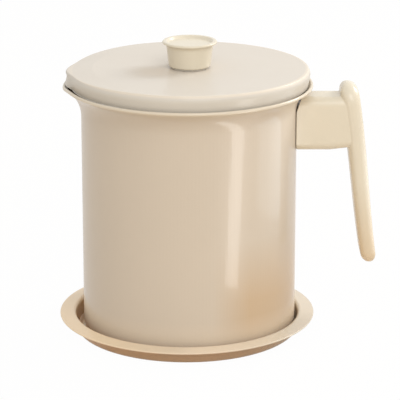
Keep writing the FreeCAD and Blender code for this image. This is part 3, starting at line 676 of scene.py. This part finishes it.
def turned_piece(
    name, plain, reach=None, droop=None, angles=(0.0, 0.0), shift=(0, 0, 0), steps=192, finish=None
):
    """Bakes a turned piece from its section and from the forms it takes at the spout."""
    area = sum(a[0] * b[1] - b[0] * a[1] for a, b in zip(plain, plain[1:] + plain[:1]))
    forms = {"Reach": reach or plain, "Droop": droop or plain}
    # The section is run clockwise, so that the faces point outwards.
    order = -1 if area > 0 else 1
    plain = plain[::order]
    plain = plain + plain[:1]
    mesh = bpy.data.meshes.new(name)
    mesh.from_pydata([(r, 0, z) for r, z in plain], [], [])
    for label, form in forms.items():
        form = form[::order]
        store = mesh.attributes.new(label, "FLOAT_VECTOR", "POINT")
        for item, (r, z), (r_there, z_there) in zip(store.data, plain, form + form[:1]):
            item.vector = (r_there - r, 0, z_there - z)
    piece = new_object(name, mesh)
    values = {
        "Steps": steps,
        "Reach Half Angle": angles[0],
        "Droop Half Angle": angles[1],
        "Shift": shift,
        "Sharp Angle": SHEET_SHARP,
        "Material": finish,
    }
    TREES.turned.bake(piece, values)
    return piece


def seat(piece, body, node):
    """Ties a finished piece to its body and to the solid that it stands for."""
    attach(piece, body)
    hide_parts(node)


def dress(node, material):
    """Gives a solid of the frame its finish."""
    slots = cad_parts[node].data.materials
    slots.clear()
    slots.append(material)


TREES = types.SimpleNamespace()
FLANGE_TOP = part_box("strainer_collar")[1].z
COLLAR_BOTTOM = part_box("strainer_collar")[0].z
LID_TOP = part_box("lid")[1].z
KNOB_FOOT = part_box("lid_knob")[0].z
KNOB_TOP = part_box("lid_knob")[1].z
LID_SHIFT = (sum(corner.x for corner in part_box("lid_knob")) / 2, 0, 0)


# ---------------------------------------------------------------- pieces

class POT_OT_shell(bpy.types.Operator):
    """Make the pot with its flared rim and spout"""
    bl_idname = "strainer_pot.shell"
    bl_label = "Pot"

    def execute(self, context):
        sizes = context.scene.pot_sizes
        look = context.scene.pot_finishes
        painted_light_zones = [
            # Painted reflection: warm, low on the pot's front right, where the tray reflects.
            (look.painted_warm_reflection, (X, 0.014, 0.036), (Y, 0.0, -0.02), (Z, 0.072, 0.034), (Z, 0.004, 0.024)),
            # Painted light: lighter low down in the tray, against the shade that falls there.
            (look.painted_base_light, (Z, 0.024, 0.010)),
            # Painted highlight on the rolled rim.
            (look.painted_rim_highlight, (Z, 0.1510, 0.1516)),
            # Painted reflection: lighter and cooler high on the pot's right side.
            (look.painted_side_reflection, (X, 0.046, 0.056), (Y, 0.010, -0.010), (Z, 0.070, 0.100), (Z, 0.1510, 0.1500)),
        ]
        finish = baked_paint("pot_paint", look.pot_cream, look.paint_roughness, look.paint_gloss, painted_light_zones)
        pot = turned_piece(
            "pot_shell",
            self.section(sizes, 0.0),
            self.section(sizes, 1.0),
            angles=(sizes.spout_half_angle, 0.0),
            steps=sizes.steps,
            finish=finish,
        )
        seat(pot, "pot", "pot_body")
        return {"FINISHED"}

    @staticmethod
    def section(sizes, spout):
        """Floor, wall, flare and rolled rim, from the axis outside and back inside."""
        wall, sheet, low = sizes.wall_radius, sizes.sheet, sizes.floor_height
        start = wall - sheet / 2
        rise = sizes.flare_rise + spout * (sizes.spout_depth - sizes.spout_drop)
        reach = wall + sizes.flare_reach + spout * sizes.spout_reach - start
        sweep = 2 * math.atan2(reach, rise)
        middle = rise / math.sin(sweep)
        hub = start + middle

        def bend(centre, radius, first, last, steps):
            turns = [first + (last - first) * i / steps for i in range(steps + 1)]
            return [(centre[0] + radius * math.cos(t), centre[1] + radius * math.sin(t)) for t in turns]

        def flare(radius):
            """Angle from the flare's start to the rolled rim along one face of the wall."""
            return sweep - math.acos((middle ** 2 + radius ** 2 - sizes.bead ** 2) / (2 * middle * radius))

        inner = sizes.corner - sheet
        hub_place = (hub, sizes.flare_start - spout * sizes.spout_depth)
        points = [(0.0, low)]
        points += bend((wall - sizes.corner, low + sizes.corner), sizes.corner, -QUARTER_TURN, 0.0, 10)
        outer_face, inner_face = middle - sheet / 2, middle + sheet / 2
        rim = (hub - middle * math.cos(sweep), hub_place[1] + middle * math.sin(sweep))
        outside = bend(hub_place, outer_face, math.pi, math.pi - flare(outer_face), 16)
        inside = bend(hub_place, inner_face, math.pi - flare(inner_face), math.pi, 16)
        first = math.atan2(outside[-1][1] - rim[1], outside[-1][0] - rim[0])
        last = math.atan2(inside[0][1] - rim[1], inside[0][0] - rim[0])
        if last < first:
            last += FULL_TURN
        points += outside
        points += bend(rim, sizes.bead, first, last, 20)[1:-1]
        points += inside
        points += bend((wall - sizes.corner, low + sheet + inner), inner, 0.0, -QUARTER_TURN, 10)
        return points + [(0.0, low + sheet)]


class POT_OT_tray(bpy.types.Operator):
    """Make the drip tray"""
    bl_idname = "strainer_pot.tray"
    bl_label = "Drip Tray"

    def execute(self, context):
        sizes = context.scene.tray_sizes
        look = context.scene.pot_finishes
        painted_light_zones = [
            # Painted shade: darker and warmer on the tray's outside below the rim.
            (look.painted_foot_shade, (Z, 0.0095, 0.0080), (RADIUS, 0.0655, 0.0665)),
            # Painted light: lighter towards the tray's left.
            (look.painted_tray_left_light, (X, -0.005, -0.060)),
            # Painted light: cooler and less red towards the tray's right.
            (look.painted_tray_right_light, (X, 0.015, 0.060)),
        ]
        finish = baked_paint("tray_paint", look.tray_cream, look.paint_roughness, look.paint_gloss, painted_light_zones)
        sheet, bend = sizes.sheet, sizes.bend
        rim, top = sizes.mouth_radius + sizes.rim_width, sizes.depth - sizes.slope
        section = rounded([
            (0.0, 0.0, 0.0),
            (sizes.foot_radius, 0.0, bend),
            (sizes.mouth_radius + sheet, sizes.depth - sheet, bend - sheet),
            (rim, top - sheet, 0.45 * sheet),
            (rim, top, 0.45 * sheet),
            (sizes.mouth_radius, sizes.depth, bend),
            (sizes.foot_radius - sheet, sheet, bend - sheet),
            (0.0, sheet, 0.0),
        ], 8)
        low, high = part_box("drip_tray")
        tray = turned_piece("tray_dish", section, shift=((low.x + high.x) / 2, 0, 0), finish=finish)
        seat(tray, "tray", "drip_tray")
        return {"FINISHED"}


class POT_OT_strainer(bpy.types.Operator):
    """Make the strainer's collar, its woven bowl and the hoop that clamps it"""
    bl_idname = "strainer_pot.strainer"
    bl_label = "Strainer"

    def execute(self, context):
        sizes = context.scene.strainer_sizes
        look = context.scene.pot_finishes
        steel = spun_steel("spun_steel", look.steel)
        self.collar(sizes, steel)
        self.hoop(sizes, steel)
        self.bowl(sizes, drawn_wire("drawn_wire", look.wire))
        return {"FINISHED"}

    @staticmethod
    def collar(sizes, steel):
        sheet = sizes.collar_sheet
        inside, under = sizes.collar_radius - sheet, FLANGE_TOP - sheet
        section = rounded([
            (inside, COLLAR_BOTTOM, 0.3 * sheet),
            (sizes.collar_radius, COLLAR_BOTTOM, 0.3 * sheet),
            (sizes.collar_radius, under, sizes.flange_bend - sheet),
            (sizes.flange_radius, under, 0.3 * sheet),
            (sizes.flange_radius, FLANGE_TOP, 0.3 * sheet),
            (inside, FLANGE_TOP, sizes.flange_bend),
        ])
        flange = turned_piece("strainer_flange", section, finish=steel)
        seat(flange, "strainer", "strainer_collar")

    @staticmethod
    def hoop(sizes, steel):
        low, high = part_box("strainer_clamp_ring")
        inside = sizes.collar_radius + sizes.mesh_thickness
        outside = inside + sizes.hoop_sheet
        edge = 0.45 * sizes.hoop_sheet
        section = rounded([
            (inside, low.z, edge),
            (outside, low.z, edge),
            (outside, high.z, edge),
            (inside, high.z, edge),
        ], 4)
        hoop = turned_piece("strainer_hoop", section, finish=steel)
        seat(hoop, "strainer", "strainer_clamp_ring")

    @staticmethod
    def bowl(sizes, wire):
        low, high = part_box("strainer_mesh")
        mesh = bpy.data.meshes.new("strainer_weave")
        mesh.from_pydata([(0, 0, 0)], [], [])
        bowl = new_object("strainer_weave", mesh)
        radius = sizes.collar_radius + sizes.mesh_thickness / 2
        bend = sizes.mesh_corner - sizes.mesh_thickness / 2
        bottom = low.z + sizes.mesh_thickness / 2
        reach = radius - bend + bend * QUARTER_TURN + high.z - bottom - bend
        values = {
            "Wires": 2 * math.ceil(reach / sizes.pitch) + 1,
            "Pitch": sizes.pitch,
            "Wire Radius": sizes.wire_radius,
            "Weave Depth": sizes.weave_depth,
            "Bowl Radius": radius,
            "Bend": bend,
            "Bottom": bottom,
            "Top": high.z - sizes.wire_radius,
            "Material": wire,
        }
        TREES.woven.bake(bowl, values)
        seat(bowl, "strainer", "strainer_mesh")


class POT_OT_lid(bpy.types.Operator):
    """Make the pressed lid with its beak"""
    bl_idname = "strainer_pot.lid"
    bl_label = "Lid"

    def execute(self, context):
        sizes = context.scene.lid_sizes
        look = context.scene.pot_finishes
        painted_light_zones = [
            # Painted highlight along the rounded top edge.
            (look.painted_edge_highlight, (RADIUS, 0.0696, 0.0704), (Z, LID_TOP - 0.0013, LID_TOP - 0.0009)),
            # Painted shade on the skirt, darker and cooler than the top.
            (look.painted_skirt_shade, (Z, LID_TOP - 0.0013, LID_TOP - 0.0022)),
            # Painted shadow: the knob's warm shadow on the lid, to its left and front.
            (
                look.painted_knob_shadow,
                (X, -0.006, -0.016),
                (X, -0.040, -0.026),
                (Y, -0.032, -0.018),
                (Y, 0.006, -0.006),
            ),
        ]
        finish = baked_paint("lid_paint", look.lid_cream, look.paint_roughness, look.lid_gloss, painted_light_zones)
        lid = turned_piece(
            "lid_cover",
            self.section(sizes, 0.0, 0.0),
            self.section(sizes, 1.0, 0.0),
            self.section(sizes, 0.0, sizes.droop),
            angles=(sizes.beak_half_angle, sizes.droop_half_angle),
            shift=LID_SHIFT,
            steps=sizes.steps,
            finish=finish,
        )
        seat(lid, "lid", "lid")
        return {"FINISHED"}

    @staticmethod
    def section(sizes, beak, droop):
        """Top, rounded edge, shoulder and skirt, outside and back inside."""
        lean = sizes.shoulder_lean
        shoulder_height = LID_TOP - sizes.shoulder
        fall = sizes.shoulder - sizes.edge * (1 - math.sin(lean))
        edge_radius = sizes.radius - fall * math.tan(lean) - sizes.edge * math.cos(lean)
        edge_radius += beak * sizes.beak_reach
        taper = (shoulder_height - FLANGE_TOP) * math.tan(sizes.skirt_lean)
        foot_radius = sizes.radius - taper + beak * sizes.beak_foot
        lean *= 1 - 2 * beak
        fall = sizes.shoulder - sizes.edge * (1 - math.sin(lean))
        shoulder_radius = edge_radius + sizes.edge * math.cos(lean) + fall * math.tan(lean)
        centre = Vector((edge_radius, LID_TOP - droop - sizes.edge))

        def face(sheet):
            top, radius = LID_TOP - sheet, sizes.edge - sheet
            turns = [QUARTER_TURN - (QUARTER_TURN - lean) * i / 10 for i in range(11)]
            edge = [centre + radius * Vector((math.cos(turn), math.sin(turn))) for turn in turns]
            corner = Vector((shoulder_radius - sheet, shoulder_height - droop))
            foot = Vector((foot_radius - sheet, FLANGE_TOP))
            before = corner.lerp(edge[-1], 0.5)
            after = corner + (foot - corner).normalized() * sizes.shoulder_blend
            points = [Vector((sizes.hole, top)), Vector((sizes.radius - sizes.flat_margin, top))] + edge
            for i in range(9):
                points.append(before.lerp(corner, i / 8).lerp(corner.lerp(after, i / 8), i / 8))
            return [tuple(point) for point in points + [foot]]

        return face(0.0) + face(sizes.sheet)[::-1]


class POT_OT_knob(bpy.types.Operator):
    """Make the lid's knob with the bore for its insert, and its gasket"""
    bl_idname = "strainer_pot.knob"
    bl_label = "Knob"

    def execute(self, context):
        sizes = context.scene.knob_sizes
        look = context.scene.pot_finishes
        rim = sizes.rim_height
        foot, top, dish = KNOB_FOOT, KNOB_TOP, KNOB_TOP - sizes.dish
        bore = foot + sizes.insert_length
        section = rounded([
            (0.0, bore, 0.0),
            (sizes.insert_radius, bore, 0.0),
            (sizes.insert_radius, foot, 0.0),
            (sizes.foot_radius, foot, 0.35 * rim),
            (sizes.neck_radius, top - rim, 0.8 * rim),
            (sizes.neck_radius + sizes.rim_width, top - rim / 2, 0.2 * rim),
            (sizes.neck_radius + sizes.rim_width, top, 0.35 * rim),
            (sizes.neck_radius, top, 0.3 * rim),
            (sizes.neck_radius - sizes.dish, dish, 0.3 * rim),
            (0.0, dish, 0.0),
        ], 8)
        plastic = moulded_plastic("knob_plastic", look.moulding_cream, look.moulding_roughness)
        knob = turned_piece("knob_moulding", section, shift=LID_SHIFT, steps=128, finish=plastic)
        seat(knob, "lid", "lid_knob")
        low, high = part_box("knob_gasket")
        hole = context.scene.lid_sizes.hole
        outside = sizes.foot_radius - sizes.gasket_margin
        edge = 0.3 * (high.z - low.z)
        section = rounded([
            (hole, low.z, 0.0),
            (outside, low.z, edge),
            (outside, high.z, edge),
            (hole, high.z, 0.0),
        ])
        silicone = soft_silicone("gasket_silicone", look.silicone)
        seal = turned_piece("knob_seal", section, shift=LID_SHIFT, steps=96, finish=silicone)
        seat(seal, "lid", "knob_gasket")
        return {"FINISHED"}


class POT_OT_handle(bpy.types.Operator):
    """Make the handle's moulding"""
    bl_idname = "strainer_pot.handle"
    bl_label = "Handle"

    def execute(self, context):
        look = context.scene.pot_finishes
        # Painted shade: darker and warmer towards the grip's tip.
        painted_light_zones = [(look.painted_tip_shade, (Z, 0.095, 0.045))]
        plastic = moulded_plastic("handle_plastic", look.moulding_cream, look.moulding_roughness, painted_light_zones)
        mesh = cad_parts["handle"].data.copy()
        mesh.name = "handle_moulding"
        work = bmesh.new()
        work.from_mesh(mesh)
        bmesh.ops.remove_doubles(work, verts=work.verts, dist=TINY)
        bmesh.ops.dissolve_degenerate(work, edges=work.edges, dist=TINY)
        work.to_mesh(mesh)
        work.free()
        mesh.shade_smooth()
        mesh.set_sharp_from_angle(angle=MOULDING_SHARP)
        mesh.materials.clear()
        mesh.materials.append(plastic)
        handle = new_object("handle_moulding", mesh)
        seat(handle, "pot", "handle")
        return {"FINISHED"}


class POT_OT_hardware(bpy.types.Operator):
    """Finish the bracket, screws, washers, nut and insert"""
    bl_idname = "strainer_pot.hardware"
    bl_label = "Hardware"

    def execute(self, context):
        look = context.scene.pot_finishes
        zinc = plated_metal("zinc_plate", look.zinc)
        paint = baked_paint("bracket_paint", look.pot_cream, look.paint_roughness, look.paint_gloss)
        dress("handle_bracket", paint)
        for node in ("bracket_nut", "handle_screw", "handle_screw_washer", "knob_screw", "knob_washer"):
            dress(node, zinc)
        dress("knob_insert", plated_metal("insert_brass", look.brass))
        return {"FINISHED"}


# ---------------------------------------------------------------- stage

def lamp(name, place, aim, size, radiance, roll=0.0, tint=(1, 1, 1), gloss_only=False):
    """A rectangular lamp of a given radiance that faces its aim, turned by its roll."""
    light = bpy.data.lights.new(name, "AREA")
    light.shape = "RECTANGLE"
    light.size, light.size_y = size
    light.energy = radiance * math.pi * size[0] * size[1]
    light.color = tint
    holder = new_object(name, light)
    holder.location = place
    facing = (Vector(aim) - Vector(place)).to_track_quat("-Z", "Y")
    holder.rotation_euler = (facing @ Quaternion((0, 0, 1), roll)).to_euler()
    holder.visible_camera = False
    holder.visible_diffuse = not gloss_only
    return holder


class POT_OT_stage(bpy.types.Operator):
    """Set the floor, the lamps, the world and the camera"""
    bl_idname = "strainer_pot.stage"
    bl_label = "Stage"

    def execute(self, context):
        scene, sizes = context.scene, context.scene.stage_sizes
        scene.view_settings.view_transform = "Standard"
        self.floor(sizes)
        self.world(scene, sizes)
        middle = (0, 0, 0.09)
        lamp("key_lamp", place=(0.93, 0.54, 0.77), aim=middle, size=(0.5, 0.5), radiance=10.0)
        lamp("front_lamp", place=(0.265, -0.99, 0.89), aim=middle, size=(0.8, 0.8), radiance=3.0)
        lamp(
            "window_strip",
            place=(0.0578, -0.0844, 0.0905),
            aim=(0.0276, -0.0588, 0.0905),
            size=(0.017, 0.120),
            radiance=4.6,
            roll=math.radians(-4.9),
            gloss_only=True,
        )
        lamp(
            "side_card",
            place=(0.217, -0.005, 0.068),
            aim=(0.050, -0.040, 0.115),
            size=(0.17, 0.075),
            radiance=1.7,
            tint=(0.75, 0.9, 1.0),
            gloss_only=True,
        )
        camera = new_object("camera", bpy.data.cameras.new("camera"))
        camera.location = (0, -sizes.distance, sizes.height)
        camera.rotation_euler = (QUARTER_TURN - sizes.pitch, 0, -sizes.yaw)
        camera.data.sensor_width = 36
        camera.data.lens = sizes.lens
        scene.camera = camera
        return {"FINISHED"}

    @staticmethod
    def floor(sizes):
        reach = sizes.floor_reach
        mesh = bpy.data.meshes.new("floor")
        corners = [(-reach, -reach, 0), (reach, -reach, 0), (reach, reach, 0), (-reach, reach, 0)]
        mesh.from_pydata(corners, [], [(0, 1, 2, 3)])
        floor = new_object("floor", mesh)
        paper = Finish("floor_paper")
        grain = paper.noise(30.0, 3.0)
        paper.set(
            Base_Color=paper.tinted(sizes.floor_tint, grain, 0.01),
            Roughness=0.9,
            Specular_IOR_Level=0.1,
        )
        glow = paper.add("ShaderNodeEmission", None, {"Color": (1, 1, 1, 1), "Strength": 1.0})
        shaded = Wire(paper, paper.shader.outputs[0])
        whiteness = paper.seen_or_mirrored() * sizes.backdrop_white
        mixed = paper.add("ShaderNodeMixShader", None, {0: whiteness, 1: shaded, 2: glow})
        output = paper.tree.nodes["Material Output"]
        paper.tree.links.new(mixed.socket, output.inputs["Surface"])
        mesh.materials.append(paper.material)

    @staticmethod
    def world(scene, sizes):
        world = bpy.data.worlds.new("studio")
        world.use_nodes = True
        scene.world = world
        net = Net(world.node_tree)
        strength = sizes.world_level + (1.0 - sizes.world_level) * net.seen_or_mirrored()
        background = world.node_tree.nodes["Background"]
        background.inputs["Color"].default_value = (1, 1, 1, 1)
        world.node_tree.links.new(strength.socket, background.inputs["Strength"])


class POT_PT_panel(bpy.types.Panel):
    """Lists the pot's pieces and their sizes"""
    bl_idname = "POT_PT_panel"
    bl_label = "Grease Strainer Pot"
    bl_space_type = "VIEW_3D"
    bl_region_type = "UI"
    bl_category = "Strainer Pot"

    def draw(self, context):
        for operator in OPERATORS:
            self.layout.operator(operator.bl_idname)
        for name, group in SETTINGS.items():
            box = self.layout.box()
            box.label(text=name.replace("_", " ").title())
            for field in group.__annotations__:
                box.prop(getattr(context.scene, name), field)


SETTINGS = {
    "pot_sizes": PotSizes,
    "tray_sizes": TraySizes,
    "strainer_sizes": StrainerSizes,
    "lid_sizes": LidSizes,
    "knob_sizes": KnobSizes,
    "pot_finishes": Finishes,
    "stage_sizes": StageSizes,
}
OPERATORS = (
    POT_OT_stage,
    POT_OT_shell,
    POT_OT_tray,
    POT_OT_strainer,
    POT_OT_lid,
    POT_OT_knob,
    POT_OT_handle,
    POT_OT_hardware,
)


def register():
    for thing in (*SETTINGS.values(), *OPERATORS, POT_PT_panel):
        bpy.utils.register_class(thing)
    for name, group in SETTINGS.items():
        setattr(bpy.types.Scene, name, PointerProperty(type=group))


def unregister():
    for name in SETTINGS:
        delattr(bpy.types.Scene, name)
    for thing in (POT_PT_panel, *reversed(OPERATORS), *SETTINGS.values()):
        bpy.utils.unregister_class(thing)


def main():
    register()
    TREES.turned = turned_tree()
    TREES.woven = woven_tree()
    for operator in OPERATORS:
        area, name = operator.bl_idname.split(".")
        if getattr(getattr(bpy.ops, area), name)() != {"FINISHED"}:
            raise RuntimeError("%s didn't finish" % operator.bl_label)


if __name__ == "__main__":
    main()
